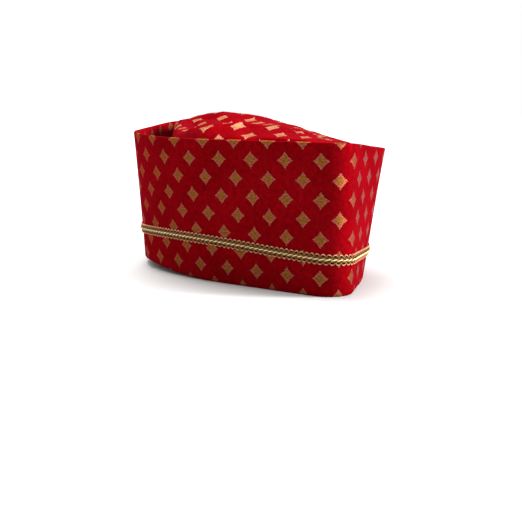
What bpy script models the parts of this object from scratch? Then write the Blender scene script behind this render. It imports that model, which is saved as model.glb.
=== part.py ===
"""A fold-flat brocade wedding cap: a turned-up cuff round a domed crown, with a gold braid.

Metres, +Z up. +Y runs from the front crease to the rear crease, and the cap stands on
its bottom edge at z = 0, with the middle of its box over the origin.
Tables are in millimetres and degrees, and are read through MM and math.radians.
"""

import bisect
import math

import bmesh
import bpy
from mathutils import Matrix, Vector

MM = 0.001

# Cloth and trim
CUFF_WALL = 2.4 * MM            # two plies of stiffened brocade
CROWN_WALL = 1.6 * MM           # one ply and its backing
SEAM_GAP = 0.3 * MM             # room kept between neighbouring pieces
BRAID_WIDTH = 6.6 * MM
BRAID_DEPTH = 1.7 * MM

# Cuff: a closed band of cloth, followed round at the height where its length was taken.
# along_mm is measured from the front crease, negative round the left side.
BAND_LENGTH = 604.8 * MM
BAND_LEVEL = 44.2 * MM
CUFF_STATIONS = (
    # along_mm, heading_deg, lean_deg, rim_mm, crown_inset_mm, hem_mm, braid_mm
    (-289.0, -133.0, 1.0, 95.8, 3.0, 0.0, 22.0),
    (-246.0, -122.0, 2.0, 93.0, 12.0, 0.0, 23.0),
    (-202.0, -117.5, 3.0, 91.6, 20.0, 3.5, 24.5),
    (-174.0, -102.5, 5.0, 91.2, 24.0, 5.5, 26.0),
    (-157.0, -87.0, 7.0, 90.3, 24.0, 4.5, 27.0),
    (-123.0, -73.0, 9.0, 89.1, 18.0, 1.2, 27.6),
    (-90.0, -60.0, 8.0, 88.8, 3.0, 0.0, 27.2),
    (-56.0, -57.5, 6.0, 88.8, 3.0, 0.0, 24.8),
    (-13.4, -54.0, 0.5, 88.5, 3.0, 0.0, 21.8),
    (13.4, 48.0, 0.5, 87.8, 3.0, 0.0, 21.2),
    (45.0, 47.5, 4.0, 85.0, 3.0, 0.0, 19.2),
    (67.0, 51.5, 7.0, 83.0, 6.0, 0.0, 17.8),
    (101.0, 69.0, 11.2, 81.3, 17.0, 0.0, 17.0),
    (134.0, 89.0, 12.6, 81.3, 24.0, 0.0, 17.0),
    (179.0, 109.0, 10.0, 83.5, 16.0, 0.0, 18.5),
    (224.0, 122.0, 6.0, 88.0, 5.0, 0.0, 20.0),
    (289.0, 124.0, 1.0, 95.8, 3.0, 0.0, 22.0),
)
RIM_EASE = 12.0 * MM            # reach over which the rim's height is evened out
SHOULDER_EASE = 30.0 * MM       # the same for the crown's inset and the braid's height
CUFF_LEVELS = (0.0, 0.2, 0.45, 0.7, 1.0)    # shares of the wall's straight height
EDGE_ROUND = 0.5 * MM                       # softened edge of the bottom fold
RIM_STEPS = 4                               # facets over the rim's half-round fold

# Crown: rises from a shoulder hidden below the rim to a soft ridge between the creases.
SHOULDER_DROP = 6.0 * MM        # shoulder below the cuff's rim
SHOULDER_SINK = 0.35            # further drop for each millimetre of the crown's inset
SEAM_HEIGHT = 12.0 * MM         # height over which crown and cuff are sewn together
CROWN_SECTIONS = 38             # cross-sections from the front crease to the rear one
CROWN_ACROSS = 20               # facets across each section
CROWN_FULLNESS = (1.9, 1.6)     # powers of the cross-section's rounded outline
CROWN_RIDGE = (
    # share_of_length, height_mm
    (0.00, 83.0),
    (0.05, 87.0),
    (0.10, 90.5),
    (0.25, 92.5),
    (0.50, 95.0),
    (0.80, 96.0),
    (0.90, 95.5),
    (0.97, 95.0),
    (1.00, 92.0),
)
CROWN_REACH = 9.0               # mm, over which a place of the form below holds its height
CROWN_CALM = 0.02               # share of the plain dome left between the places
CROWN_LEVEL = 2.0               # pull towards a level surface between the places
SHOULDER_FADE = 8               # power by which the form fades out towards the shoulders
CROWN_FORM = (
    # x_mm, y_mm, height_mm
    # near slope of the swell along the near wall
    (-47.0, -55.0, 89.5),
    (-33.5, -72.0, 90.8),
    (-19.0, -91.0, 91.0),
    (-56.0, -34.0, 89.8),
    (-46.0, -33.0, 95.0),
    (-33.0, -54.5, 96.0),
    (-18.5, -73.0, 95.2),
    # its crest
    (-49.5, -11.0, 95.4),
    (-45.5, -24.0, 96.8),
    (-39.0, -34.5, 98.2),
    (-33.0, -46.0, 98.4),
    (-25.0, -56.0, 97.4),
    (-17.0, -66.0, 97.0),
    (-12.5, -73.5, 96.8),
    (-8.5, -80.0, 95.4),
    # front slope, falling to the right
    (-7.0, -90.0, 93.0),
    (-9.0, -100.0, 90.4),
    (1.0, -99.0, 90.5),
    (12.0, -104.0, 88.4),
    (12.5, -88.0, 90.3),
    (17.5, -63.0, 92.0),
    (5.0, -76.0, 92.6),
    (10.0, -45.0, 94.4),
    (22.0, -37.5, 93.4),
    (12.0, -18.0, 96.6),
    # hidden fold behind the near swell
    (-4.0, -52.0, 94.8),
    (-18.0, -34.0, 94.4),
    (-4.0, -12.0, 94.4),
    (-30.0, -10.0, 92.8),
    (-14.0, 12.0, 93.0),
    (-46.0, 8.0, 91.2),
    (-36.0, 28.0, 91.0),
    (-42.0, 42.0, 91.0),
    (-29.0, 46.0, 92.4),
    (-38.0, 70.0, 92.0),
    # swell towards the rear: its near slope
    (-24.0, 66.0, 96.6),
    (-18.0, 58.5, 97.4),
    (-6.5, 38.0, 100.0),
    (6.5, 18.5, 97.6),
    # its crest
    (-19.0, 82.0, 98.2),
    (-13.5, 71.0, 100.8),
    (-8.0, 61.0, 102.8),
    (-2.5, 51.0, 104.6),
    (3.0, 41.0, 103.8),
    (8.5, 32.0, 103.0),
    (13.5, 22.0, 102.2),
    (18.5, 12.0, 100.2),
    (22.0, 0.5, 97.8),
    (23.0, -16.0, 95.8),
    # far slope
    (20.0, 52.0, 98.4),
    (30.0, 28.0, 95.4),
    (34.0, 0.0, 92.8),
    (34.0, -28.0, 90.0),
    (28.0, -58.0, 88.0),
    (21.0, -88.0, 87.0),
    (2.0, 90.0, 96.6),
)

# Facets round the cuff
LONGEST_FACET = 8.0 * MM
WIDEST_TURN = 9.0               # degrees
PLAN_STEP = 0.8 * MM            # step in which the band's line is followed

# Colours (linear) and finishes
CLOTH_RED = (0.42, 0.004, 0.012, 1.0)
CLOTH_DEEP_RED = (0.25, 0.003, 0.008, 1.0)
BRAID_GOLD = (0.55, 0.32, 0.12, 1.0)


def interpolate(table, column, value):
    """Read one column of a table at a value of its first column."""
    keys = [row[0] for row in table]
    place = min(max(bisect.bisect_right(keys, value), 1), len(keys) - 1)
    low, high = table[place - 1], table[place]
    share = (value - low[0]) / (high[0] - low[0])
    return low[column] + (high[column] - low[column]) * min(max(share, 0.0), 1.0)


def closed_stations():
    """Repeat the table's end rows one turn on, so that every place has neighbours."""
    turn = BAND_LENGTH / MM
    last, first = CUFF_STATIONS[-1], CUFF_STATIONS[0]
    before = (last[0] - turn, last[1] - 360.0, *last[2:])
    after = (first[0] + turn, first[1] + 360.0, *first[2:])
    return (before, *CUFF_STATIONS, after)


STATIONS = closed_stations()


def station_value(along, column):
    """One column of the stations table at a place along the band."""
    half = BAND_LENGTH / 2
    wrapped = (along + half) % BAND_LENGTH - half
    return interpolate(STATIONS, column, wrapped / MM)


def follow_band():
    """Lay the band out in plan by its headings and spread the small closing error."""
    steps = round(BAND_LENGTH / PLAN_STEP)
    step = BAND_LENGTH / steps
    line = [Vector((0.0, 0.0))]
    for index in range(steps):
        heading = math.radians(station_value(-BAND_LENGTH / 2 + (index + 0.5) * step, 1))
        line.append(line[-1] + Vector((math.cos(heading), math.sin(heading))) * step)
    drift = line[-1].copy()
    return [point - drift * index / steps for index, point in enumerate(line)]


BAND_LINE = follow_band()


def plan_point(along):
    """The band's place in plan."""
    half = BAND_LENGTH / 2
    place = ((along + half) % BAND_LENGTH) / BAND_LENGTH * (len(BAND_LINE) - 1)
    index = min(int(place), len(BAND_LINE) - 2)
    return BAND_LINE[index].lerp(BAND_LINE[index + 1], place - index)


def outward(along):
    """Level direction that points out of the cap."""
    ahead = plan_point(along + PLAN_STEP * 2)
    behind = plan_point(along - PLAN_STEP * 2)
    run = (ahead - behind).normalized()
    return Vector((run.y, -run.x))


def wall_point(along, height, offset=0.0):
    """A point of the cuff's outer face, moved outward by offset."""
    lean = math.radians(station_value(along, 2))
    spread = (height - BAND_LEVEL) * math.tan(lean) + offset
    place = plan_point(along) + outward(along) * spread
    return Vector((place.x, place.y, height))


def eased_value(along, column, reach):
    """A station value averaged over a reach to both sides, so that it has no corners."""
    samples = [station_value(along + reach * share / 4, column) for share in range(-4, 5)]
    return sum(samples) / len(samples) * MM


def rim_height(along):
    """Height of the cuff's folded rim."""
    return eased_value(along, 3, RIM_EASE)


def hem_height(along):
    """How far the bottom edge lifts off the surface at the soft left bend."""
    return eased_value(along, 5, RIM_EASE)


def crown_inset(along):
    """How far the crown's shoulder stands inside the cuff."""
    return eased_value(along, 4, SHOULDER_EASE)


def braid_height(along):
    """Height of the braid's middle."""
    return eased_value(along, 6, SHOULDER_EASE)


def cuff_places():
    """Places round the band, closer together where it bends."""
    places = []
    for low, high in zip(STATIONS[:-1], STATIONS[1:]):
        length = (high[0] - low[0]) * MM
        turn = abs(high[1] - low[1])
        count = max(math.ceil(length / LONGEST_FACET), math.ceil(turn / WIDEST_TURN))
        places += [low[0] * MM + length * index / count for index in range(count)]
    start = STATIONS[0][0] * MM
    return [place for place in places if place < start + BAND_LENGTH - PLAN_STEP]


def ring_of_sections(name, sections):
    """Close a ring from equal sections, each a closed loop of points."""
    mesh = bpy.data.meshes.new(name)
    shape = bmesh.new()
    loops = [[shape.verts.new(point) for point in section] for section in sections]
    for loop, following in zip(loops, loops[1:] + loops[:1]):
        count = len(loop)
        for index in range(count):
            after = (index + 1) % count
            shape.faces.new((loop[index], following[index], following[after], loop[after]))
    bmesh.ops.recalc_face_normals(shape, faces=shape.faces)
    shape.to_mesh(mesh)
    shape.free()
    return add_object(name, mesh)


def add_object(name, mesh):
    """Put a mesh in the scene under its plain name, shaded smooth."""
    thing = bpy.data.objects.new(name, mesh)
    bpy.context.collection.objects.link(thing)
    mesh.shade_smooth()
    mesh.set_sharp_from_angle(angle=math.radians(50.0))
    return thing


def finish(thing, colour, roughness, metallic=0.0):
    """Give an object its own plain material."""
    material = bpy.data.materials.new(thing.name + "_finish")
    material.use_nodes = True
    shader = material.node_tree.nodes["Principled BSDF"]
    shader.inputs["Base Color"].default_value = colour
    shader.inputs["Roughness"].default_value = roughness
    shader.inputs["Metallic"].default_value = metallic
    thing.data.materials.append(material)


def cuff_section(along):
    """Section of the cuff: outer face, half-round rim, inner face and flat bottom."""
    hem = hem_height(along)
    radius = CUFF_WALL / 2
    low = hem + EDGE_ROUND
    straight = rim_height(along) - radius
    levels = [low + (straight - low) * share for share in CUFF_LEVELS]
    outer = [wall_point(along, level) for level in levels]
    inner = [wall_point(along, level, -CUFF_WALL) for level in reversed(levels)]
    fold = []
    for step in range(1, RIM_STEPS):
        angle = math.pi * step / RIM_STEPS
        fold.append(wall_point(along, straight + radius * math.sin(angle),
                               -radius + radius * math.cos(angle)))
    bottom = [wall_point(along, hem, -CUFF_WALL + EDGE_ROUND), wall_point(along, hem, -EDGE_ROUND)]
    return outer + fold + inner + bottom


def make_cuff():
    """Outer band, turned up and folded over at the rim."""
    cuff = ring_of_sections("cuff", [cuff_section(along) for along in cuff_places()])
    finish(cuff, CLOTH_RED, 0.55)
    return cuff


def braid_section(along):
    """Section of the braid: a flat back and two rounded edges with a hollow between."""
    middle, half = braid_height(along), BRAID_WIDTH / 2
    profile = (
        # share_of_half_width, share_of_depth
        (-0.90, 0.0),
        (0.90, 0.0),
        (1.00, 0.50),
        (0.72, 1.0),
        (0.38, 0.78),
        (0.00, 0.95),
        (-0.38, 0.78),
        (-0.72, 1.0),
        (-1.00, 0.50),
    )
    return [wall_point(along, middle + half * rise, SEAM_GAP + BRAID_DEPTH * depth)
            for rise, depth in profile]


def make_braid():
    """Gold braid sewn round the cuff."""
    braid = ring_of_sections("braid", [braid_section(along) for along in cuff_places()])
    finish(braid, BRAID_GOLD, 0.35, 0.8)
    return braid


def skirt_points(along):
    """From the bottom edge up the sewn seam and on to the crown's shoulder."""
    seat = -CUFF_WALL - SEAM_GAP
    low = wall_point(along, hem_height(along), seat)
    seam = wall_point(along, SEAM_HEIGHT, seat)
    inset = crown_inset(along)
    top = rim_height(along) - SHOULDER_DROP - inset * SHOULDER_SINK
    shoulder = wall_point(along, top, seat - inset)
    middle = seam.lerp(shoulder, 0.5)
    return [low, seam, middle, shoulder]


def section_shares():
    """Places of the cross-sections from crease to crease, closer at the creases."""
    shares = []
    for index in range(CROWN_SECTIONS + 1):
        even = index / CROWN_SECTIONS
        eased = (1 - math.cos(math.pi * even)) / 2
        shares.append((even + eased) / 2)
    return shares


def form_height(x, y, plain):
    """Height of the crown at a place, on a plane laid through the form's heights nearby."""
    sums, heights = Matrix.Diagonal((CROWN_CALM, CROWN_LEVEL, CROWN_LEVEL)), Vector()
    for at_x, at_y, height in CROWN_FORM:
        off = Vector((1.0, at_x - x / MM, at_y - y / MM))
        weight = 1 / (1 + off.yz.length_squared / CROWN_REACH ** 2) ** 2
        heights += off * (weight * (height - plain / MM))
        for line, part in zip(sums, off):
            line += off * (weight * part)
    return plain + (sums.inverted() @ heights).x * MM


def dome_point(left, right, length_share, across_share):
    """A point of the crown's top between the two shoulders of one section."""
    point = left.lerp(right, across_share)
    off_ridge = abs(2 * across_share - 1)
    plan_power, rise_power = CROWN_FULLNESS
    swell = (1 - off_ridge ** plan_power) ** (1 / rise_power)
    ridge = interpolate(CROWN_RIDGE, 1, length_share) * MM
    plain = point.z + (ridge - (left.z + right.z) / 2) * swell
    form = form_height(point.x, point.y, plain)
    point.z = plain + (form - plain) * (1 - off_ridge ** SHOULDER_FADE)
    return point


def make_crown():
    """Domed top with its hidden sides, one wall that is open below for the head."""
    mesh = bpy.data.meshes.new("crown")
    shape = bmesh.new()
    shares = section_shares()
    lefts = [skirt_points(-BAND_LENGTH / 2 * share) for share in shares]
    rights = [skirt_points(BAND_LENGTH / 2 * share) for share in shares]
    ring = lefts + rights[-2:0:-1]
    skirt = [[shape.verts.new(point) for point in column] for column in ring]
    for column, following in zip(skirt, skirt[1:] + skirt[:1]):
        for low in range(len(column) - 1):
            shape.faces.new((column[low], following[low], following[low + 1], column[low + 1]))
    rows = [[skirt[0][-1]] * (CROWN_ACROSS + 1)]
    for index in range(1, CROWN_SECTIONS):
        left, right = skirt[index][-1], skirt[-index][-1]
        inside = [shape.verts.new(dome_point(left.co, right.co, shares[index], step / CROWN_ACROSS))
                  for step in range(1, CROWN_ACROSS)]
        rows.append([left, *inside, right])
    rows.append([skirt[CROWN_SECTIONS][-1]] * (CROWN_ACROSS + 1))
    for row, following in zip(rows[:-1], rows[1:]):
        for step in range(CROWN_ACROSS):
            corners = (row[step], row[step + 1], following[step + 1], following[step])
            shape.faces.new(list(dict.fromkeys(corners)))
    bmesh.ops.recalc_face_normals(shape, faces=shape.faces)
    shape.to_mesh(mesh)
    shape.free()
    crown = add_object("crown", mesh)
    wall = crown.modifiers.new("wall", "SOLIDIFY")
    wall.thickness = CROWN_WALL
    wall.offset = -1.0
    wall.use_even_offset = True
    finish(crown, CLOTH_DEEP_RED, 0.6)
    return crown


def centre_band():
    """Move the band's line so that the middle of the cap's box is over the origin."""
    corners = [corner for along in cuff_places()
               for corner in cuff_section(along) + braid_section(along)]
    middle = Vector((min(c.x for c in corners) + max(c.x for c in corners),
                     min(c.y for c in corners) + max(c.y for c in corners))) / 2
    BAND_LINE[:] = [point - middle for point in BAND_LINE]


def main():
    for thing in list(bpy.data.objects):
        bpy.data.objects.remove(thing, do_unlink=True)
    centre_band()
    make_cuff()
    make_crown()
    make_braid()


main()
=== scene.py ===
"""The look of a fold-flat brocade wedding cap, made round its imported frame.

Metres, +Z up, in the frame's own axes: +Y runs from the front crease to the rear crease.
The cuff and the crown are modelled as cloth, the braid as looped and twisted cords.
Tables are in millimetres and degrees, and are read through MM and math.radians.
"""

import bisect
import math

import bmesh
import bpy
from mathutils import Matrix, Vector, noise


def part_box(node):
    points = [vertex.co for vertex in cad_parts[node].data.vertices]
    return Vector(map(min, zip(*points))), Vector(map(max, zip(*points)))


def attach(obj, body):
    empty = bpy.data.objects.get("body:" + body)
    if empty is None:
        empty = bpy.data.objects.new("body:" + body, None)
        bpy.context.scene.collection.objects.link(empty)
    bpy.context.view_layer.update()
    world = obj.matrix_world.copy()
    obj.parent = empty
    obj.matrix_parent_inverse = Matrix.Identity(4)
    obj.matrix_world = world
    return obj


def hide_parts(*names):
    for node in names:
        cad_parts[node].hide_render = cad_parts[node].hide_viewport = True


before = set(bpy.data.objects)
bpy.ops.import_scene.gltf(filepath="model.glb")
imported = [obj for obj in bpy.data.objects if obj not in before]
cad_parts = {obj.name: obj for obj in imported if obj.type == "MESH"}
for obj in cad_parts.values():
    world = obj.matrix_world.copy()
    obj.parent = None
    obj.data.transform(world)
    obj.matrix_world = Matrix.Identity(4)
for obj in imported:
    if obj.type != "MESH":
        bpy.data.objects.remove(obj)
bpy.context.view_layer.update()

MM = 0.001

# Cloth and trim
CUFF_WALL = 2.4 * MM
CROWN_WALL = 1.6 * MM
SEAM_GAP = 0.3 * MM

# The woven pattern: diamonds on a staggered square lattice, in half pitches of the cloth
HALF_PITCH = 11.2 * MM
DIAMOND_REACH = 5.3 * MM        # from a diamond's middle to its tip
DIAMOND_HOLLOW = 0.80           # power of its outline: 1 has straight sides, less has hollow ones
WEAVE_STEP = 0.45 * MM          # steps along the outline of a woven diamond
THREAD_PITCH = 0.36 * MM
THREAD_TURN = 2 * math.pi * HALF_PITCH / THREAD_PITCH       # of the weave, for each half pitch
CLOTH_MAP = "cloth"

# Cuff: a closed band of cloth, followed round at the height where its length was taken
BAND_LENGTH = 604.8 * MM
BAND_LEVEL = 44.2 * MM
CUFF_STATIONS = (
    # along_mm, heading_deg, lean_deg, rim_mm, crown_inset_mm, hem_mm, braid_mm
    (-289.0, -133.0, 1.0, 95.8, 3.0, 0.0, 22.0),
    (-246.0, -122.0, 2.0, 93.0, 12.0, 0.0, 23.0),
    (-202.0, -117.5, 3.0, 91.6, 20.0, 3.5, 24.5),
    (-174.0, -102.5, 5.0, 91.2, 24.0, 5.5, 26.0),
    (-157.0, -87.0, 7.0, 90.3, 24.0, 4.5, 27.0),
    (-123.0, -73.0, 9.0, 89.1, 18.0, 1.2, 27.6),
    (-90.0, -60.0, 8.0, 88.8, 3.0, 0.0, 27.2),
    (-56.0, -57.5, 6.0, 88.8, 3.0, 0.0, 24.8),
    (-13.4, -54.0, 0.5, 88.5, 3.0, 0.0, 21.8),
    (13.4, 48.0, 0.5, 87.8, 3.0, 0.0, 21.2),
    (45.0, 47.5, 4.0, 85.0, 3.0, 0.0, 19.2),
    (67.0, 51.5, 7.0, 83.0, 6.0, 0.0, 17.8),
    (101.0, 69.0, 11.2, 81.3, 17.0, 0.0, 17.0),
    (134.0, 89.0, 12.6, 81.3, 24.0, 0.0, 17.0),
    (179.0, 109.0, 10.0, 83.5, 16.0, 0.0, 18.5),
    (224.0, 122.0, 6.0, 88.0, 5.0, 0.0, 20.0),
    (289.0, 124.0, 1.0, 95.8, 3.0, 0.0, 22.0),
)
HEADING, LEAN, RIM, INSET, HEM, BRAID = range(1, 7)         # the table's columns
RIM_EASE = 12.0 * MM            # reach over which the rim's and the hem's heights are evened out
SHOULDER_EASE = 30.0 * MM       # the same for the crown's inset and the braid's height
PLAN_STEP = 0.8 * MM
PLACES_ROUND = 432              # columns of the cuff's mesh
FACE_ROWS = 56                  # rows of its outer and of its inner face
RIM_STEPS = 8
HEM_STEPS = 6
HEM_ROUND = 0.9 * MM
CLOTH_WAVE = 0.45 * MM          # soft unevenness of the cuff
CLOTH_WAVE_LENGTH = 46.0 * MM
CLOTH_WAVE_RISE = 0.6           # share that height counts for in it, beside length along the wall

# Crown
SHOULDER_DROP = 6.0 * MM
SHOULDER_SINK = 0.35            # further drop for each millimetre of the crown's inset
SEAM_HEIGHT = 12.0 * MM
CROWN_SECTIONS = 150
CROWN_ACROSS = 96
SKIRT_ROWS = 14
CROWN_FULLNESS = (1.9, 1.6)
CROWN_RIDGE = (
    # share_of_length, height_mm
    (0.00, 83.0),
    (0.05, 87.0),
    (0.10, 90.5),
    (0.25, 92.5),
    (0.50, 95.0),
    (0.80, 96.0),
    (0.90, 95.5),
    (0.97, 95.0),
    (1.00, 92.0),
)
RIDGE_EASE = 0.03
CROWN_REACH = 9.0               # mm, over which a place of the form below holds its height
CROWN_CALM = 0.02               # share of the plain dome left between the places
CROWN_LEVEL = 2.0               # pull towards a level surface between the places
SHOULDER_FADE = 20              # power by which the form fades out towards the shoulders
CROWN_FORM = (
    # x_mm, y_mm, height_mm
    # near slope of the swell along the near wall
    (-47.0, -55.0, 89.5),
    (-33.5, -72.0, 90.8),
    (-19.0, -91.0, 91.0),
    (-56.0, -34.0, 89.8),
    (-46.0, -33.0, 95.0),
    (-33.0, -54.5, 96.0),
    (-18.5, -73.0, 95.2),
    # its crest
    (-49.5, -11.0, 95.4),
    (-45.5, -24.0, 96.8),
    (-39.0, -34.5, 98.2),
    (-33.0, -46.0, 98.4),
    (-25.0, -56.0, 97.4),
    (-17.0, -66.0, 97.0),
    (-12.5, -73.5, 96.8),
    (-8.5, -80.0, 95.4),
    # front slope, falling to the right
    (-7.0, -90.0, 93.0),
    (-9.0, -100.0, 90.4),
    (1.0, -99.0, 90.5),
    (12.0, -104.0, 88.4),
    (12.5, -88.0, 90.3),
    (17.5, -63.0, 92.0),
    (5.0, -76.0, 92.6),
    (10.0, -45.0, 94.4),
    (22.0, -37.5, 93.4),
    (12.0, -18.0, 96.6),
    # hidden fold behind the near swell
    (-4.0, -52.0, 94.8),
    (-18.0, -34.0, 94.4),
    (-4.0, -12.0, 94.4),
    (-30.0, -10.0, 92.8),
    (-14.0, 12.0, 93.0),
    (-46.0, 8.0, 91.2),
    (-36.0, 28.0, 91.0),
    (-42.0, 42.0, 91.0),
    (-29.0, 46.0, 92.4),
    (-38.0, 70.0, 92.0),
    # swell towards the rear: its near slope
    (-24.0, 66.0, 96.6),
    (-18.0, 58.5, 97.4),
    (-6.5, 38.0, 100.0),
    (6.5, 18.5, 97.6),
    # its crest
    (-19.0, 82.0, 98.2),
    (-13.5, 71.0, 100.8),
    (-8.0, 61.0, 102.8),
    (-2.5, 51.0, 104.6),
    (3.0, 41.0, 103.8),
    (8.5, 32.0, 103.0),
    (13.5, 22.0, 102.2),
    (18.5, 12.0, 100.2),
    (22.0, 0.5, 97.8),
    (23.0, -16.0, 95.8),
    # far slope
    (20.0, 52.0, 98.4),
    (30.0, 28.0, 95.4),
    (34.0, 0.0, 92.8),
    (34.0, -28.0, 90.0),
    (28.0, -58.0, 88.0),
    (21.0, -88.0, 87.0),
    (2.0, 90.0, 96.6),
)
CROWN_CREASES = (
    # from_x_mm, from_y_mm, to_x_mm, to_y_mm, depth_mm (below 0 for a raised fold), half_width_mm
    (-46.0, -32.0, -30.0, -52.0, -0.8, 2.4),
    (-30.0, -52.0, -14.0, -74.0, -0.8, 2.4),
    (-50.0, -22.0, -36.0, -40.0, 1.0, 2.0),
    (-24.0, -44.0, -27.0, -60.0, 0.8, 1.5),
    (-10.0, -72.0, -1.0, -96.0, 1.0, 2.2),
    (6.0, -60.0, 5.0, -100.0, 1.0, 2.4),
    (12.0, -30.0, 8.0, -70.0, 0.7, 3.0),
    (-6.0, 10.0, -14.0, 62.0, 0.9, 3.0),
    (20.0, 0.0, 26.0, 45.0, 0.8, 3.0),
    (-30.0, 20.0, -22.0, 66.0, 0.8, 2.6),
)
CREASE_END = 8.0 * MM           # over which a crease fades out at its ends
CREASE_BEND = 2.0 * MM          # how far creases wander to the side
CREASE_BEND_LENGTH = 9.0 * MM
CROWN_WRINKLE = 0.45 * MM
CROWN_WRINKLE_LENGTH = 15.0 * MM
CROWN_WRINKLE_KIND = (0.9, 2.1, 3)      # of the fractal noise: roughness, step between octaves, octaves
CROWN_ANCHORS = (
    # x_mm, y_mm, column, row: places of diamonds, in half pitches along and across the near wall
    (-47.0, -55.2, -2, 0),
    (-33.4, -72.0, 0, 0),
    (-19.1, -90.9, 2, 0),
    (-46.0, -32.8, -3, 1),
    (-33.0, -54.6, -1, 1),
    (-18.4, -73.1, 1, 1),
    (-6.9, -84.9, 3, 1),
    (-10.0, -99.9, 4, 0),
    (0.9, -99.2, 5, 1),
    (-17.8, 58.6, -8, 8),
    (-6.6, 38.1, -6, 8),
    (6.5, 18.6, -4, 8),
)
LEADING_ANCHORS = 6             # of them, which turn and scale the pattern; all of them then shift it
ANCHOR_REACH = 10.0 * MM        # over which an anchor holds the pattern
ANCHOR_CALM = 0.03              # share of the unshifted pattern

# Braid: a twisted middle cord between two flat ones, with a row of arches on both sides
ARCHES_ROUND = 178
ARCH_PITCH = BAND_LENGTH / ARCHES_ROUND
WINDINGS = 8                    # of the fine thread round a cord, for each arch
POINTS_AN_ARCH = 12
ARCH_FOOT = 1.40 * MM           # of the arches, above and below the braid's own middle
ARCH_RISE = 1.50 * MM
ARCH_BOW = 0.8                  # power of an arch's outline, below 1 for a fuller one
ARCH_SHIFT = 0.25               # arches by which the upper row is ahead and the lower one behind
ARCH_CORD = 0.40 * MM
ARCH_LIFT = 1.2                 # of the arches' tops off the cloth, in radii of their cord
FOOT_LIFT = 0.5                 # further lift where two arches meet
SIDE_PLACE = 1.12 * MM          # of the flat cords
SIDE_CORD = 0.36 * MM
SIDE_LIFT = 1.3 * SIDE_CORD
TWIST_SPREAD = 0.40 * MM
TWIST_CORD = 0.42 * MM
TWIST_LIFT = 2.6 * TWIST_CORD
SHADOW_SHEET_HALF = 2.45 * MM        # dark sheet behind the arches: painted shade
SHADOW_SHEET_LIFT = 0.22 * MM
CORD_SIDES = 6

# Camera, at the photograph's angle
CAMERA_PLACE = (-0.2704, -0.6243, 0.1107)
CAMERA_HEADING = -23.94
CAMERA_PITCH = 9.04
CAMERA_ROLL = 0.22
CAMERA_LENS = 68.97

# Colours, linear
SATIN_RED = (0.157, 0.0007, 0.0026, 1.0)
SATIN_DEEP = (0.123, 0.0005, 0.0018, 1.0)
CUFF_GOLD = ((0.152, 0.057, 0.010, 1.0), (0.23, 0.052, 0.036, 1.0))     # heart, rim
CROWN_LIT_GOLD = ((0.210, 0.132, 0.052, 1.0), (0.27, 0.114, 0.088, 1.0))    # painted light: the cuff's golds made paler for the crown's top
# The right wall's gold is a painted reflection of the red satin, as the gold looks at a grazing view.
SIDE_REFLECTION_GOLD = (0.150, 0.050, 0.050, 1.0)          # of the right wall, duller and redder: a painted reflection
REFLECTION_SPAN = (0.5, 1.7, 14.0, 18.0)              # half pitches from the front crease: from, full, full, to
BACK_RED = (0.070, 0.003, 0.004, 1.0)
BRAID_CORDS = (
    # name, pale, dark, highlight_share (painted highlight where a cord stands out), repeat_arches
    ("braid_arch_look", (0.76, 0.37, 0.22, 1.0), (0.20, 0.075, 0.022, 1.0), 0.25, 1),
    ("braid_side_look", (0.36, 0.205, 0.058, 1.0), (0.09, 0.042, 0.009, 1.0), 0.0, 1),
    ("braid_twist_look", (0.84, 0.58, 0.28, 1.0), (0.10, 0.048, 0.012, 1.0), 0.45, 2),
    # the last finish is painted shade, for the dark ring behind the arches
    ("braid_shadow_sheet_look", (0.060, 0.018, 0.003, 1.0), (0.025, 0.007, 0.001, 1.0), 0.0, 1),
)
FLOOR_PALE = (0.46, 0.455, 0.45, 1.0)
FLOOR_GRAIN = 1.04              # brightness of the floor's paler grains
RED_SHINE = (1.0, 0.12, 0.20, 1.0)
RED_SHEEN = (1.0, 0.12, 0.25, 1.0)

# Finish of the cloth and the cords, where a pair in brackets is a gain and an offset
GROUND_MOTTLE = (1.5, 0.27)     # of the red, over its mottle
GOLD_STREAKS = (3.0, -0.5)      # of the gold, over its streaks
SHADOW_REACH = 1.22              # of the painted shadow round a raised diamond, in diamond reaches
SHADOW_BRIGHTNESS = 0.6                     # brightness of that painted shadow
STREAK_SCALE = (7.0, 14.0)      # streaks along and up the cloth, in a half pitch
MOTTLE_SCALE = 4.0              # specks, in a half pitch
SOFT_SCALE = 0.35               # slow changes of the red, in a half pitch
TWILL_SHINE = 0.12              # of the twill lines in the gold
HEART_REACH = 0.45              # in diamond reaches, up to where a diamond has its heart's gold alone
RIM_REACH = 0.95                # and from where it has its rim's gold alone, but for the streaks
REFLECTION_SHARE = 0.8                # of the painted reflection's gold in the right wall's diamonds
GOLD_METAL, CLOTH_METAL = 0.35, 0.25    # the gold's is added to the cloth's
CLOTH_ROUGH = (0.16, 0.44)      # gain and offset of the roughness, over the mottle
GOLD_SMOOTH = 0.10              # less roughness in the gold
CLOTH_RELIEF = 0.07 * MM
BACK_RELIEF = 0.06 * MM
CORD_RELIEF = 0.05 * MM

# Light and floor
SUNS = (
    # name, azimuth_deg, elevation_deg, strength, softness_deg
    ("sun_right", 64.0, 20.0, 8.3, 22.0),
    ("sun_top", 180.0, 66.0, 5.0, 40.0),
    ("sun_left", 215.0, 40.0, 0.7, 30.0),
)
FLOOR_HALF = 6.0                # m


# The band and the wall

def interpolate(table, column, value):
    """Read one column of a table at a value of its first column."""
    keys = [row[0] for row in table]
    place = min(max(bisect.bisect_right(keys, value), 1), len(keys) - 1)
    low, high = table[place - 1], table[place]
    share = (value - low[0]) / (high[0] - low[0])
    return low[column] + (high[column] - low[column]) * min(max(share, 0.0), 1.0)


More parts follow.
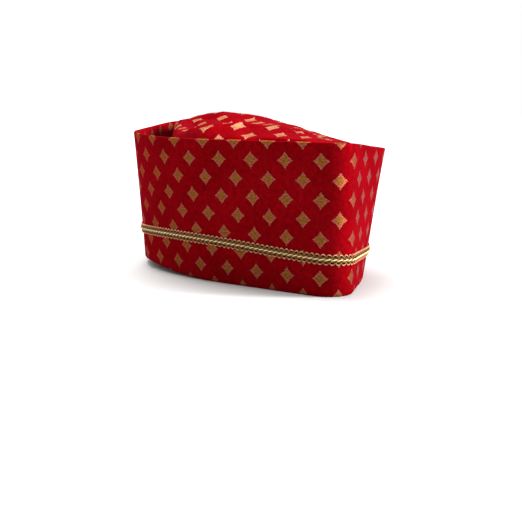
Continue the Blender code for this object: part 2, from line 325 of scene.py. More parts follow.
def closed_stations():
    """Repeat the table's end rows one turn on, so that every place has neighbours."""
    turn = BAND_LENGTH / MM
    last, first = CUFF_STATIONS[-1], CUFF_STATIONS[0]
    before = (last[0] - turn, last[1] - 360.0, *last[2:])
    after = (first[0] + turn, first[1] + 360.0, *first[2:])
    return (before, *CUFF_STATIONS, after)


STATIONS = closed_stations()


def station_value(along, column):
    """One column of the stations table at a place along the band."""
    half = BAND_LENGTH / 2
    wrapped = (along + half) % BAND_LENGTH - half
    return interpolate(STATIONS, column, wrapped / MM)


def eased_value(along, column, reach):
    """A station value averaged over a reach to both sides, so that it has no corners."""
    samples = [station_value(along + reach * share / 4, column) for share in range(-4, 5)]
    return sum(samples) / len(samples) * MM


def follow_band():
    """Lay the band out in plan by its headings and spread the small closing error."""
    steps = round(BAND_LENGTH / PLAN_STEP)
    step = BAND_LENGTH / steps
    line = [Vector((0.0, 0.0))]
    for index in range(steps):
        heading = math.radians(station_value(-BAND_LENGTH / 2 + (index + 0.5) * step, HEADING))
        line.append(line[-1] + Vector((math.cos(heading), math.sin(heading))) * step)
    drift = line[-1].copy()
    return [point - drift * index / steps for index, point in enumerate(line)]


BAND_LINE = follow_band()


def plan_point(along):
    """The band's place in plan."""
    half = BAND_LENGTH / 2
    place = ((along + half) % BAND_LENGTH) / BAND_LENGTH * (len(BAND_LINE) - 1)
    index = min(int(place), len(BAND_LINE) - 2)
    return BAND_LINE[index].lerp(BAND_LINE[index + 1], place - index)


def outward(along):
    """Level direction that points out of the cap."""
    run = (plan_point(along + PLAN_STEP * 2) - plan_point(along - PLAN_STEP * 2)).normalized()
    return Vector((run.y, -run.x))


def wall_point(along, height, offset=0.0):
    """A point of the cuff's outer face, moved outward by offset."""
    lean = math.radians(station_value(along, LEAN))
    spread = (height - BAND_LEVEL) * math.tan(lean) + offset
    place = plan_point(along) + outward(along) * spread
    return Vector((place.x, place.y, height))


def set_over_frame():
    """Move the band's line so that the cuff stands where the frame's cuff does."""
    places = [BAND_LENGTH * share / 400 for share in range(400)]
    corners = [wall_point(place, level) for place in places
               for level in (0.0, eased_value(place, RIM, RIM_EASE) - CUFF_WALL / 2)]
    low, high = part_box("cuff")
    offset = Vector((
        min(c.x for c in corners) + max(c.x for c in corners) - low.x - high.x,
        min(c.y for c in corners) + max(c.y for c in corners) - low.y - high.y)) / 2
    BAND_LINE[:] = [point - offset for point in BAND_LINE]


# The cuff

def cloth_wave(along, height):
    """Soft unevenness of the stiffened cloth, outward, none at the bottom edge."""
    place = plan_point(along)
    spot = Vector((place.x, place.y, height * CLOTH_WAVE_RISE)) / CLOTH_WAVE_LENGTH
    return noise.noise(spot) * CLOTH_WAVE * min(height / SEAM_HEIGHT, 1.0)


def cuff_section(along):
    """Section of the cuff as (point, length of cloth from the bottom edge) pairs."""
    hem = eased_value(along, HEM, RIM_EASE)
    rim = eased_value(along, RIM, RIM_EASE)
    radius = CUFF_WALL / 2
    low, straight = hem + HEM_ROUND, rim - radius
    slant = 1 / math.cos(math.radians(station_value(along, LEAN)))
    levels = [low + (straight - low) * row / FACE_ROWS for row in range(FACE_ROWS + 1)]
    section = [(wall_point(along, level, cloth_wave(along, level)), level * slant)
               for level in levels]
    top = straight * slant
    wave = cloth_wave(along, straight)
    for step in range(1, RIM_STEPS):
        angle = math.pi * step / RIM_STEPS
        point = wall_point(along, straight + radius * math.sin(angle),
                           wave - radius + radius * math.cos(angle))
        section.append((point, top + radius * angle))
    over = top + math.pi * radius
    for level in reversed(levels):
        point = wall_point(along, level, cloth_wave(along, level) - CUFF_WALL)
        section.append((point, over + (straight - level) * slant))
    end = section[-1][1]
    for step in range(1, HEM_STEPS):
        angle = math.pi * step / HEM_STEPS
        point = wall_point(along, low - HEM_ROUND * math.sin(angle),
                           cloth_wave(along, low) - radius - radius * math.cos(angle))
        section.append((point, end + radius * angle))
    return section, end + math.pi * radius


def new_piece(name, mesh):
    """Put a finished mesh in the scene as a smooth piece."""
    mesh.shade_smooth()
    piece = bpy.data.objects.new(name, mesh)
    bpy.context.scene.collection.objects.link(piece)
    return piece


def make_cuff():
    """The cuff's cloth, with its pattern running on over the rim and down the inside."""
    mesh = bpy.data.meshes.new("cuff_cloth")
    shape = bmesh.new()
    layer = shape.loops.layers.uv.new(CLOTH_MAP)
    places = [BAND_LENGTH * (index / PLACES_ROUND - 0.5) for index in range(PLACES_ROUND)]
    sections = [cuff_section(place) for place in places]
    columns = [[shape.verts.new(point) for point, _ in section] for section, _ in sections]
    step = BAND_LENGTH / PLACES_ROUND
    for index, place in enumerate(places):
        after = (index + 1) % PLACES_ROUND
        count = len(columns[index])
        for row in range(count):
            above = (row + 1) % count
            corners = ((index, row, place), (after, row, place + step),
                       (after, above, place + step), (index, above, place))
            face = shape.faces.new([columns[column][level] for column, level, _ in corners])
            for loop, (column, level, spot) in zip(face.loops, corners):
                section, end = sections[column]
                cloth = end if row and not level else section[level][1]
                loop[layer].uv = (spot / HALF_PITCH, (cloth - BAND_LEVEL) / HALF_PITCH)
    shape.to_mesh(mesh)
    shape.free()
    piece = new_piece("cuff_cloth", mesh)
    # the cuff's gold carries a painted reflection of the red satin along its right wall
    mesh.materials.append(brocade("cuff_brocade_look", *CUFF_GOLD, REFLECTION_SPAN))
    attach(piece, "root")
    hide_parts("cuff")


# The crown

def crown_shoulder(along):
    """Where the crown turns down beside the cuff."""
    inset = eased_value(along, INSET, SHOULDER_EASE)
    top = eased_value(along, RIM, RIM_EASE) - SHOULDER_DROP - inset * SHOULDER_SINK
    return wall_point(along, top, -CUFF_WALL - SEAM_GAP - inset + cloth_wave(along, top))


def skirt_column(along):
    """The crown's hidden side, from the bottom edge up to just under the shoulder."""
    seat = -CUFF_WALL - SEAM_GAP
    hem = eased_value(along, HEM, RIM_EASE)
    low = wall_point(along, hem, seat)
    seam = wall_point(along, SEAM_HEIGHT, seat + cloth_wave(along, SEAM_HEIGHT))
    shoulder = crown_shoulder(along)
    column = [low]
    for row in range(SKIRT_ROWS):
        share = row / SKIRT_ROWS
        ease = share * share * (1.5 - 0.5 * share)
        point = seam.lerp(shoulder, share)
        straight = wall_point(along, point.z, seat + cloth_wave(along, point.z))
        column.append(straight.lerp(point, ease))
    return column


def section_shares():
    """Places of the cross-sections from crease to crease, closer at the creases."""
    shares = []
    for index in range(CROWN_SECTIONS + 1):
        even = index / CROWN_SECTIONS
        eased = (1 - math.cos(math.pi * even)) / 2
        shares.append((even + eased) / 2)
    return shares


def ridge_height(share):
    """The crown's ridge, with the table's corners rounded off."""
    samples = [interpolate(CROWN_RIDGE, 1, share + RIDGE_EASE * step / 3) for step in range(-3, 4)]
    return sum(samples) / len(samples) * MM


def form_height(x, y, plain):
    """Height of the crown at a place, on a plane laid through the form's heights nearby."""
    sums, heights = Matrix.Diagonal((CROWN_CALM, CROWN_LEVEL, CROWN_LEVEL)), Vector()
    for at_x, at_y, height in CROWN_FORM:
        off = Vector((1.0, at_x - x / MM, at_y - y / MM))
        weight = 1 / (1 + off.yz.length_squared / CROWN_REACH ** 2) ** 2
        heights += off * (weight * (height - plain / MM))
        for line, part in zip(sums, off):
            line += off * (weight * part)
    return plain + (sums.inverted() @ heights).x * MM


def crease_depth(x, y):
    """Depth of the sharper creases and of the fine wrinkles at a place of the crown."""
    spot = Vector((x, y, 0.0))
    depth = noise.fractal(spot / CROWN_WRINKLE_LENGTH, *CROWN_WRINKLE_KIND) * CROWN_WRINKLE
    for from_x, from_y, to_x, to_y, deepest, half_width in CROWN_CREASES:
        start = Vector((from_x, from_y, 0.0)) * MM
        run = Vector((to_x, to_y, 0.0)) * MM - start
        share = (spot - start).dot(run) / run.length_squared
        beyond = max(-share, share - 1.0, 0.0) * run.length
        bend = CREASE_BEND * noise.noise(spot / CREASE_BEND_LENGTH)
        off = ((spot - start).cross(run).z / run.length + bend) / (half_width * MM)
        fade = math.exp(-(beyond / CREASE_END) ** 2)
        depth += deepest * MM * fade * math.exp(-off * off)
    return depth


def fullness(across):
    """Rounded outline of a cross-section, 1 in its middle and 0 at both shoulders."""
    plan_power, rise_power = CROWN_FULLNESS
    return (1 - abs(2 * across - 1) ** plan_power) ** (1 / rise_power)


def away_from_shoulders(across):
    """1 over most of a cross-section, and 0 at both shoulders."""
    return 1 - abs(2 * across - 1) ** SHOULDER_FADE


def shoulders(length):
    """Both ends of a cross-section."""
    return crown_shoulder(-BAND_LENGTH / 2 * length), crown_shoulder(BAND_LENGTH / 2 * length)


def plain_dome(left, right, length, across):
    """A point of the dome before its swells and folds."""
    base = left.lerp(right, across)
    rise = (ridge_height(length) - (left.z + right.z) / 2) * fullness(across)
    return base + Vector((0.0, 0.0, rise))


def dome_point(left, right, length, across):
    """A point of the crown's top between the two shoulders of one section."""
    point = plain_dome(left, right, length, across)
    height = form_height(point.x, point.y, point.z) - crease_depth(point.x, point.y)
    point.z += (height - point.z) * away_from_shoulders(across)
    return point


def across_share(step):
    """Share across a section, closer together towards the shoulders."""
    even = step / CROWN_ACROSS
    return (even + (1 - math.cos(math.pi * even)) / 2) / 2


def dome_rows(shares):
    """Rows of points of the crown's top, one row for each section."""
    rows = []
    for share in shares:
        left, right = shoulders(share)
        if share in (shares[0], shares[-1]):
            rows.append([left] * (CROWN_ACROSS + 1))
        else:
            rows.append([dome_point(left, right, share, across_share(step))
                         for step in range(CROWN_ACROSS + 1)])
    return rows


def grid_faces(shape, rows):
    """Skin rows of vertices, leaving out the corners that fall together."""
    faces = []
    for row, following in zip(rows[:-1], rows[1:]):
        for step in range(len(row) - 1):
            corners = (row[step], row[step + 1], following[step + 1], following[step])
            faces.append(shape.faces.new(list(dict.fromkeys(corners))))
    return faces


def flattened(rows):
    """Lay the crown's top out flat: for each vertex of its rows, its place on the cloth."""
    mesh = bpy.data.meshes.new("crown_flat")
    shape = bmesh.new()
    verts = [[shape.verts.new(rows[0][0])] * len(rows[0])]
    verts += [[shape.verts.new(point) for point in row] for row in rows[1:-1]]
    verts.append([shape.verts.new(rows[-1][0])] * len(rows[-1]))
    grid_faces(shape, verts)
    shape.verts.index_update()
    order = [[vert.index for vert in row] for row in verts]
    shape.to_mesh(mesh)
    shape.free()
    helper = bpy.data.objects.new("crown_flat", mesh)
    bpy.context.scene.collection.objects.link(helper)
    bpy.context.view_layer.objects.active = helper
    helper.select_set(True)
    bpy.ops.object.mode_set(mode="EDIT")
    bpy.ops.mesh.select_all(action="SELECT")
    bpy.ops.uv.unwrap(method="CONFORMAL", margin=0.0)
    bpy.ops.object.mode_set(mode="OBJECT")
    found = {}
    for loop in mesh.loops:
        uv = mesh.uv_layers.active.uv[loop.index].vector
        found[loop.vertex_index] = complex(uv.x, uv.y)
    bpy.data.objects.remove(helper)
    return [[found[index] for index in row] for row in order]


def pattern_places(rows):
    """Pattern coordinates of the crown's top, in half pitches, turned and set by the anchors."""
    flat = flattened(rows)
    points = [(point, spot) for row, spots in zip(rows, flat) for point, spot in zip(row, spots)]
    pairs = []
    for x, y, column, row in CROWN_ANCHORS:
        near = min(points, key=lambda pair: math.hypot(pair[0].x - x * MM, pair[0].y - y * MM))
        pairs.append((near, complex(column, row)))
    leading = [(spot, goal) for (_, spot), goal in pairs[:LEADING_ANCHORS]]
    middle = sum(spot for spot, _ in leading) / LEADING_ANCHORS
    aim = sum(goal for _, goal in leading) / LEADING_ANCHORS
    turn = (sum((goal - aim) * (spot - middle).conjugate() for spot, goal in leading)
            / sum(abs(spot - middle) ** 2 for spot, _ in leading))
    shifts = [(point, goal - (spot - middle) * turn - aim) for (point, spot), goal in pairs]
    return [[(spot - middle) * turn + aim + pattern_shift(point, shifts)
             for point, spot in zip(row, spots)] for row, spots in zip(rows, flat)]


def pattern_shift(point, shifts):
    """How far the anchors nearby move the pattern at a point."""
    total, weights = 0.0, ANCHOR_CALM
    for anchor, shift in shifts:
        weight = 1 / (1 + (point - anchor).length_squared / ANCHOR_REACH ** 2) ** 2
        total += shift * weight
        weights += weight
    return total / weights


def hang_pattern(spots, column, inward):
    """Run the pattern on from the shoulder, the last of a column's vertices, down the side."""
    edge = spots[column[-1]]
    run = (edge - inward) / abs(edge - inward)
    length = 0.0
    for upper, lower in zip(column[:0:-1], column[-2::-1]):
        length += (upper.co - lower.co).length / HALF_PITCH
        spots[lower] = edge + run * length


def side_verts(shape, shares):
    """Columns of vertices of the crown's sides, in order round the cap from the front crease."""
    places = [-BAND_LENGTH / 2 * share for share in shares]
    places += [BAND_LENGTH / 2 * share for share in shares[-2:0:-1]]
    return [[shape.verts.new(point) for point in skirt_column(place)] for place in places]


def top_verts(shape, rows, pattern):
    """Rows of vertices of the crown's top, one alone at each crease, and their pattern places."""
    verts, spots = [], {}
    for index, (row, marks) in enumerate(zip(rows, pattern)):
        if index in (0, len(rows) - 1):
            made = [shape.verts.new(row[0])] * len(row)
        else:
            made = [shape.verts.new(point) for point in row]
        verts.append(made)
        spots.update(zip(made, marks))
    return verts, spots


def join_sides(columns, verts, pattern, spots):
    """Run each column of the sides up to the shoulder it meets, and the pattern down along it."""
    last = len(verts) - 1
    ring = [(index, 0, 1) for index in range(last + 1)]
    ring += [(index, -1, -2) for index in range(last - 1, 0, -1)]
    for column, (index, edge, inner) in zip(columns, ring):
        column.append(verts[index][edge])
        if 0 < index < last:
            inward = pattern[index][inner]
        else:
            inward = pattern[min(max(index, 1), last - 1)][CROWN_ACROSS // 2]
        hang_pattern(spots, column, inward)


def column_faces(shape, columns):
    """Skin a ring of columns of vertices."""
    faces = []
    for index, column in enumerate(columns):
        following = columns[(index + 1) % len(columns)]
        for row in range(len(column) - 1):
            corners = (column[row], column[row + 1], following[row + 1], following[row])
            faces.append(shape.faces.new(corners))
    return faces


def add_wall(piece):
    """Thicken the crown's cloth inward, with the plain back as its inner finish."""
    wall = piece.modifiers.new("wall", "SOLIDIFY")
    wall.thickness = CROWN_WALL
    wall.offset = -1.0
    wall.use_even_offset = True
    wall.material_offset = 1


def make_crown():
    """The crown's cloth: its domed top, its hidden sides and its plain back."""
    shares = section_shares()
    rows = dome_rows(shares)
    pattern = pattern_places(rows)
    mesh = bpy.data.meshes.new("crown_cloth")
    shape = bmesh.new()
    layer = shape.loops.layers.uv.new(CLOTH_MAP)
    columns = side_verts(shape, shares)
    verts, spots = top_verts(shape, rows, pattern)
    join_sides(columns, verts, pattern, spots)
    for face in grid_faces(shape, verts) + column_faces(shape, columns):
        for loop in face.loops:
            loop[layer].uv = (spots[loop.vert].real, spots[loop.vert].imag)
    bmesh.ops.recalc_face_normals(shape, faces=shape.faces)
    shape.to_mesh(mesh)
    shape.free()
    piece = new_piece("crown_cloth", mesh)
    # the crown's gold is painted paler and yellower than the cuff's, as painted light on its top
    mesh.materials.append(brocade("crown_lit_brocade_look", *CROWN_LIT_GOLD))
    mesh.materials.append(cloth_back())
    add_wall(piece)
    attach(piece, "root")
    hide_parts("crown")


# The braid

def braid_point(along, across, lift):
    """A point of the braid: across is up the wall from its middle, lift is off the cloth."""
    height = eased_value(along, BRAID, SHOULDER_EASE) + across
    return wall_point(along, height, lift + cloth_wave(along, height))


def arch_line(side):
    """The cord of one row of arches, above the middle for side 1 and below it for -1."""
    line = []
    for index in range(ARCHES_ROUND * POINTS_AN_ARCH):
        turn = math.pi * (index / POINTS_AN_ARCH + side * ARCH_SHIFT)
        across = side * (ARCH_FOOT + ARCH_RISE * abs(math.sin(turn)) ** ARCH_BOW)
        lift = ARCH_CORD * (ARCH_LIFT + FOOT_LIFT * abs(math.cos(turn)))
        line.append((ARCH_PITCH * index / POINTS_AN_ARCH - BAND_LENGTH / 2, across, lift))
    return line


def side_line(side):
    """One of the flat cords beside the middle one."""
    count = ARCHES_ROUND * POINTS_AN_ARCH // 3
    return [(BAND_LENGTH * (index / count - 0.5), side * SIDE_PLACE, SIDE_LIFT)
            for index in range(count)]


def twist_line(strand):
    """One of the two strands of the middle cord."""
    line = []
    for index in range(ARCHES_ROUND * POINTS_AN_ARCH // 2):
        along = 2 * ARCH_PITCH * index / POINTS_AN_ARCH
        turn = math.pi * (along / ARCH_PITCH + strand)
        lift = TWIST_LIFT + TWIST_SPREAD * math.cos(turn)
        line.append((along - BAND_LENGTH / 2, TWIST_SPREAD * math.sin(turn), lift))
    return line


def add_cord(shape, layer, line, radius, finish, start=0.0):
    """Skin a closed cord along a line of (along, across, lift) places, in one of BRAID_CORDS.

    Its map counts arches along it, less start, so that it stands out most, and has its painted highlight,
    at 0.
    """
    points = [braid_point(*place) for place in line]
    count = len(points)
    rings = []
    for index, point in enumerate(points):
        run = (points[(index + 1) % count] - points[index - 1]).normalized()
        level = outward(line[index][0])
        away = Vector((level.x, level.y, 0.0))
        side = run.cross(away).normalized()
        away = side.cross(run)
        ring = []
        for step in range(CORD_SIDES):
            angle = 2 * math.pi * step / CORD_SIDES
            spoke = away * math.cos(angle) + side * math.sin(angle)
            ring.append(shape.verts.new(point + spoke * radius))
        rings.append(ring)
    arches = ARCHES_ROUND / count
    for index in range(count):
        ring, following = rings[index], rings[(index + 1) % count]
        for step in range(CORD_SIDES):
            after = (step + 1) % CORD_SIDES
            face = shape.faces.new((ring[step], ring[after], following[after], following[step]))
            face.material_index = finish
            marks = ((index, step), (index, step + 1), (index + 1, step + 1), (index + 1, step))
            for loop, (place, turn) in zip(face.loops, marks):
                loop[layer].uv = (place * arches - start, turn / CORD_SIDES)


def add_shadow_sheet(shape, layer):
    """A dark flat ring on the cloth behind the arches: painted shade where the arches shadow the cloth.
    """
    columns = []
    for index in range(PLACES_ROUND):
        along = BAND_LENGTH * (index / PLACES_ROUND - 0.5)
        levels = (-SHADOW_SHEET_HALF, 0.0, SHADOW_SHEET_HALF)
        outer = [shape.verts.new(braid_point(along, level, SHADOW_SHEET_LIFT)) for level in levels]
        inner = [shape.verts.new(braid_point(along, level, 0.0)) for level in reversed(levels)]
        columns.append(outer + inner)
    for index, column in enumerate(columns):
        following = columns[(index + 1) % PLACES_ROUND]
        for row in range(len(column)):
            above = (row + 1) % len(column)
            face = shape.faces.new((column[row], following[row], following[above], column[above]))
            face.material_index = 3
            corners = ((index, row), (index + 1, row), (index + 1, row + 1), (index, row + 1))
            for loop, (place, level) in zip(face.loops, corners):
                loop[layer].uv = (ARCHES_ROUND * place / PLACES_ROUND, level / len(column))


def make_braid():
    """Gold braid sewn round the cuff: three cords with a row of arches on both sides."""
    mesh = bpy.data.meshes.new("gold_braid")
    shape = bmesh.new()
    layer = shape.loops.layers.uv.new(CLOTH_MAP)
    for side in (1, -1):
        add_cord(shape, layer, arch_line(side), ARCH_CORD, 0, 0.5 - side * ARCH_SHIFT)
        add_cord(shape, layer, side_line(side), SIDE_CORD, 1)
    for strand in range(2):
        add_cord(shape, layer, twist_line(strand), TWIST_CORD, 2, strand)
    # painted shade: a dark ring on the cloth under the arches
    add_shadow_sheet(shape, layer)
    bmesh.ops.recalc_face_normals(shape, faces=shape.faces)
    shape.to_mesh(mesh)
    shape.free()
    piece = new_piece("gold_braid", mesh)
    for finish in BRAID_CORDS:
        mesh.materials.append(gold_cord(*finish))
    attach(piece, "root")
    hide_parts("braid")


# Materials

def calc(tree, operation, *inputs):
    """Add a Math node whose inputs are sockets or numbers, and return its output."""
    node = tree.nodes.new("ShaderNodeMath")
    node.operation = operation
    for socket, value in zip(node.inputs, inputs):
        if isinstance(value, (int, float)):
            socket.default_value = value
        else:
            tree.links.new(value, socket)
    return node.outputs[0]


def scaled(tree, value, gain, offset):
    """A value times a gain, plus an offset."""
    return calc(tree, "ADD", calc(tree, "MULTIPLY", value, gain), offset)


def blend_colours(tree, share, first, second):
    """Mix two colours, each a socket or four numbers."""
    node = tree.nodes.new("ShaderNodeMix")
    node.data_type = "RGBA"
    for socket, value in ((node.inputs[0], share), (node.inputs[6], first), (node.inputs[7], second)):
        if isinstance(value, (int, float, tuple)):
            socket.default_value = value
        else:
            tree.links.new(value, socket)
    return node.outputs[2]


def shaded(tree, colour, factor):
    """A colour made lighter or darker by a factor socket."""
    node = tree.nodes.new("ShaderNodeVectorMath")
    node.operation = "SCALE"
    tree.links.new(colour, node.inputs[0])
    tree.links.new(factor, node.inputs["Scale"])
    return node.outputs[0]


def ramp_share(tree, value, low, high):
    """A smooth 0 to 1 as value goes from low to high."""
    node = tree.nodes.new("ShaderNodeMapRange")
    node.interpolation_type = "SMOOTHSTEP"
    node.inputs["From Min"].default_value = low
    node.inputs["From Max"].default_value = high
    tree.links.new(value, node.inputs["Value"])
    return node.outputs["Result"]


def noise_value(tree, vector, scale, detail=2.0, roughness=0.5):
    """Noise of about 0 to 1 at a vector socket."""
    node = tree.nodes.new("ShaderNodeTexNoise")
    node.inputs["Scale"].default_value = scale
    node.inputs["Detail"].default_value = detail
    node.inputs["Roughness"].default_value = roughness
    tree.links.new(vector, node.inputs["Vector"])
    return node.outputs["Fac"]


def stretched(tree, vector, x, y):
    """A map's vector with its two axes scaled apart."""
    node = tree.nodes.new("ShaderNodeVectorMath")
    node.operation = "MULTIPLY"
    node.inputs[1].default_value = (x, y, 1.0)
    tree.links.new(vector, node.inputs[0])
    return node.outputs[0]


def cloth_coordinates(tree):
    """A piece's own map: its vector and its two coordinates."""
    cloth = tree.nodes.new("ShaderNodeUVMap")
    cloth.uv_map = CLOTH_MAP
    parts = tree.nodes.new("ShaderNodeSeparateXYZ")
    tree.links.new(cloth.outputs["UV"], parts.inputs[0])
    return cloth.outputs["UV"], parts.outputs[0], parts.outputs[1]


def diamond_field(tree, u, v):
    """0 in the middle of each woven diamond and 1 on its outline, in steps of the weave."""
    step = WEAVE_STEP / HALF_PITCH
    u = calc(tree, "ADD", calc(tree, "SNAP", u, step), step / 2)
    v = calc(tree, "ADD", calc(tree, "SNAP", v, step), step / 2)
    first = calc(tree, "MULTIPLY", calc(tree, "ADD", u, v), 0.5)
    second = calc(tree, "MULTIPLY", calc(tree, "SUBTRACT", u, v), 0.5)
    first = calc(tree, "SUBTRACT", first, calc(tree, "ROUND", first))
    second = calc(tree, "SUBTRACT", second, calc(tree, "ROUND", second))
    reach = DIAMOND_REACH / HALF_PITCH
    sides = []
    for operation in ("ADD", "SUBTRACT"):
        off = calc(tree, "ABSOLUTE", calc(tree, operation, first, second))
        sides.append(calc(tree, "POWER", calc(tree, "DIVIDE", off, reach), DIAMOND_HOLLOW))
    return calc(tree, "POWER", calc(tree, "ADD", *sides), 1 / DIAMOND_HOLLOW)


def add_bump(tree, shader, height, distance):
    """Relief from a height socket."""
    bump = tree.nodes.new("ShaderNodeBump")
    bump.inputs["Strength"].default_value = 1.0
    bump.inputs["Distance"].default_value = distance
    tree.links.new(height, bump.inputs["Height"])
    tree.links.new(bump.outputs["Normal"], shader.inputs["Normal"])


def new_material(name):
    """A node material, its tree and its shader."""
    material = bpy.data.materials.new(name)
    material.use_nodes = True
    tree = material.node_tree
    return material, tree, tree.nodes["Principled BSDF"]


def satin_ground(tree, vector, field, mottle):
    """The red ground, mottled, with painted shadow close round each raised diamond."""
    soft = noise_value(tree, vector, SOFT_SCALE)
    colour = blend_colours(tree, ramp_share(tree, soft, 0.3, 0.7), SATIN_DEEP, SATIN_RED)
    colour = shaded(tree, colour, scaled(tree, mottle, *GROUND_MOTTLE))
    # painted shadow: the red made darker close round each diamond
    unshadowed = ramp_share(tree, field, 1.0, SHADOW_REACH)
    return shaded(tree, colour, scaled(tree, unshadowed, 1 - SHADOW_BRIGHTNESS, SHADOW_BRIGHTNESS))


def woven_gold(tree, field, twill, streaks, heart, rim):
    """The gold of the diamonds, in one gold at heart and another at the rim."""
    shine = calc(tree, "ADD", calc(tree, "MULTIPLY", twill, TWILL_SHINE), streaks)
    outer = ramp_share(tree, field, HEART_REACH, RIM_REACH)
    share = calc(tree, "ADD", outer, calc(tree, "SUBTRACT", shine, 0.5))
    return blend_colours(tree, ramp_share(tree, share, 0.0, 1.1), heart, rim)


def reflected_side_gold(tree, u, metal, reflection_span):
    """The gold, turned over a span of the cloth to the right wall's duller, redder gold: a painted
    reflection of the red satin.
    """
    side = calc(tree, "SUBTRACT", ramp_share(tree, u, *reflection_span[:2]), ramp_share(tree, u, *reflection_span[2:]))
    return blend_colours(tree, calc(tree, "MULTIPLY", side, REFLECTION_SHARE), metal, SIDE_REFLECTION_GOLD)


def woven_relief(tree, u, v, gold, twill, streaks, mottle):
    """Height of the weave, raised and streaked where the gold lies."""
    weft = calc(tree, "SINE", calc(tree, "MULTIPLY", v, THREAD_TURN))
    warp = calc(tree, "SINE", calc(tree, "MULTIPLY", u, THREAD_TURN))
    weave = calc(tree, "MULTIPLY", calc(tree, "ADD", calc(tree, "MULTIPLY", weft, 0.5), warp), 0.10)
    woven = calc(tree, "ADD", calc(tree, "MULTIPLY", twill, 0.35), calc(tree, "MULTIPLY", streaks, 1.2))
    raised = calc(tree, "MULTIPLY", gold, calc(tree, "ADD", woven, 1.0))
    return calc(tree, "ADD", calc(tree, "ADD", weave, raised), calc(tree, "MULTIPLY", mottle, 0.5))


def brocade(name, heart, rim, reflection_span=None):
    """Red satin ground with woven gold diamonds.

    A span gives where along the cloth the gold turns to the right wall's redder gold, a painted
    reflection of the red satin.
    """
    material, tree, shader = new_material(name)
    vector, u, v = cloth_coordinates(tree)
    field = diamond_field(tree, u, v)
    gold = calc(tree, "LESS_THAN", field, 1.0)
    twill = calc(tree, "SINE", calc(tree, "MULTIPLY", calc(tree, "ADD", u, v), THREAD_TURN * 0.5))
    streaked = stretched(tree, vector, *STREAK_SCALE)
    streaks = noise_value(tree, streaked, 1.0, 3.0, 0.7)
    mottle = noise_value(tree, vector, MOTTLE_SCALE, 4.0, 0.65)

    ground = satin_ground(tree, vector, field, mottle)
    metal = woven_gold(tree, field, twill, streaks, heart, rim)
    if reflection_span:
        # painted reflection of the red satin in the right wall's gold
        metal = reflected_side_gold(tree, u, metal, reflection_span)
    metal = shaded(tree, metal, scaled(tree, streaks, *GOLD_STREAKS))
    rough = scaled(tree, mottle, *CLOTH_ROUGH)
    smoother = calc(tree, "MULTIPLY", gold, GOLD_SMOOTH)
    tree.links.new(blend_colours(tree, gold, ground, metal), shader.inputs["Base Color"])
    tree.links.new(scaled(tree, gold, GOLD_METAL, CLOTH_METAL), shader.inputs["Metallic"])
    tree.links.new(calc(tree, "SUBTRACT", rough, smoother), shader.inputs["Roughness"])
    shader.inputs["Specular IOR Level"].default_value = 0.0
    shader.inputs["Specular Tint"].default_value = RED_SHINE
    shader.inputs["Sheen Weight"].default_value = 0.03
    shader.inputs["Sheen Roughness"].default_value = 0.45
    shader.inputs["Sheen Tint"].default_value = RED_SHEEN
    relief = woven_relief(tree, u, v, gold, twill, streaks, mottle)
    add_bump(tree, shader, relief, CLOTH_RELIEF)
    return material


def cloth_back():
    """The plain back of the crown's cloth."""
    material, tree, shader = new_material("cloth_back_look")
    vector, u, v = cloth_coordinates(tree)
    warp = calc(tree, "SINE", calc(tree, "MULTIPLY", u, THREAD_TURN / 2))
    weft = calc(tree, "SINE", calc(tree, "MULTIPLY", v, THREAD_TURN / 2))
    weave = calc(tree, "MULTIPLY", warp, weft)
    mottle = noise_value(tree, vector, 3.0, 4.0)
    shade = calc(tree, "ADD", calc(tree, "MULTIPLY", weave, 0.15), mottle)
    tree.links.new(blend_colours(tree, shade, BACK_RED, SATIN_DEEP), shader.inputs["Base Color"])
    shader.inputs["Roughness"].default_value = 0.85
    shader.inputs["Specular IOR Level"].default_value = 0.15
    add_bump(tree, shader, calc(tree, "ADD", weave, mottle), BACK_RELIEF)
    return material


def gold_cord(name, pale, dark, highlight_share, repeat):
    """Metal-wrapped thread of the braid, paler where it stands out most from the cloth, every repeat
    arches: a painted highlight.
    """
    material, tree, shader = new_material(name)
    vector, arches, turn = cloth_coordinates(tree)
    windings = calc(tree, "ADD", calc(tree, "MULTIPLY", arches, WINDINGS), turn)
    wound = calc(tree, "SINE", calc(tree, "MULTIPLY", windings, 2 * math.pi))
    uneven = noise_value(tree, stretched(tree, vector, 4.0, 2.0), 1.0, 3.0)
    # painted highlight: paler where the cord stands out most from the cloth
    out = calc(tree, "COSINE", calc(tree, "MULTIPLY", arches, 2 * math.pi / repeat))
    share = calc(tree, "ADD", calc(tree, "MULTIPLY", wound, 0.15), calc(tree, "MULTIPLY", out, highlight_share))
    share = calc(tree, "ADD", share, uneven)
    colour = blend_colours(tree, ramp_share(tree, share, 0.25, 1.05), dark, pale)
    tree.links.new(colour, shader.inputs["Base Color"])
    shader.inputs["Metallic"].default_value = 0.4
    shader.inputs["Roughness"].default_value = 0.42
    shader.inputs["Specular IOR Level"].default_value = 0.1
    add_bump(tree, shader, wound, CORD_RELIEF)
    return material


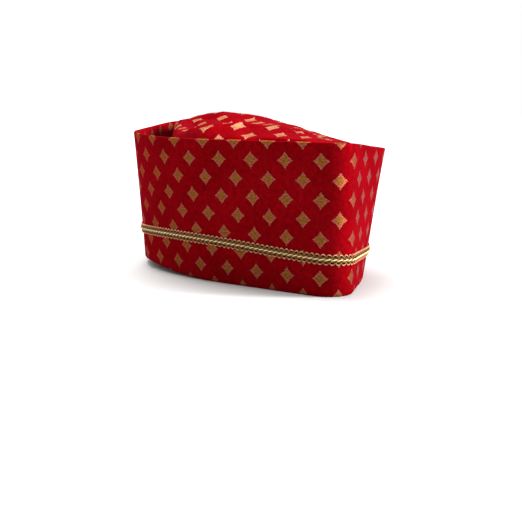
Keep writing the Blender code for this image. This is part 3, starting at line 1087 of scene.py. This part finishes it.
def floor_finish():
    """Pale matt studio floor."""
    material, tree, shader = new_material("floor_look")
    place = tree.nodes.new("ShaderNodeTexCoord").outputs["Object"]
    grain = noise_value(tree, place, 40.0, 4.0)
    pale = tuple(part * FLOOR_GRAIN for part in FLOOR_PALE[:3]) + (1.0,)
    tree.links.new(blend_colours(tree, grain, FLOOR_PALE, pale), shader.inputs["Base Color"])
    shader.inputs["Roughness"].default_value = 0.8
    return material


# Surroundings

def make_floor():
    """A wide pale floor under the cap."""
    mesh = bpy.data.meshes.new("floor")
    corners = [(x * FLOOR_HALF, y * FLOOR_HALF, 0) for x, y in ((-1, -1), (1, -1), (1, 1), (-1, 1))]
    mesh.from_pydata(corners, [], [(0, 1, 2, 3)])
    floor = bpy.data.objects.new("floor", mesh)
    bpy.context.scene.collection.objects.link(floor)
    mesh.materials.append(floor_finish())


def make_suns():
    """Soft studio light from the right and from above, with the near left wall in shade."""
    for name, azimuth, elevation, strength, softness in SUNS:
        light = bpy.data.lights.new(name, "SUN")
        light.energy = strength
        light.angle = math.radians(softness)
        sun = bpy.data.objects.new(name, light)
        sun.rotation_euler = (math.radians(90.0 - elevation), 0.0, math.radians(azimuth))
        bpy.context.scene.collection.objects.link(sun)


def make_world():
    """Even pale surroundings."""
    world = bpy.data.worlds.new("surroundings")
    world.use_nodes = True
    sky = world.node_tree.nodes["Background"]
    sky.inputs["Color"].default_value = (1.0, 1.0, 1.0, 1.0)
    sky.inputs["Strength"].default_value = 1.0
    bpy.context.scene.world = world


def make_camera():
    """The camera, at the photograph's angle and distance."""
    data = bpy.data.cameras.new("camera")
    data.sensor_width = 36.0
    data.lens = CAMERA_LENS
    camera = bpy.data.objects.new("camera", data)
    turn = (Matrix.Rotation(math.radians(CAMERA_HEADING), 4, "Z")
            @ Matrix.Rotation(math.radians(90.0 - CAMERA_PITCH), 4, "X")
            @ Matrix.Rotation(math.radians(CAMERA_ROLL), 4, "Z"))
    camera.matrix_world = Matrix.Translation(CAMERA_PLACE) @ turn
    bpy.context.scene.collection.objects.link(camera)
    bpy.context.scene.camera = camera


set_over_frame()
make_cuff()
make_crown()
make_braid()
make_floor()
make_suns()
make_world()
make_camera()
bpy.context.scene.view_settings.view_transform = "Standard"
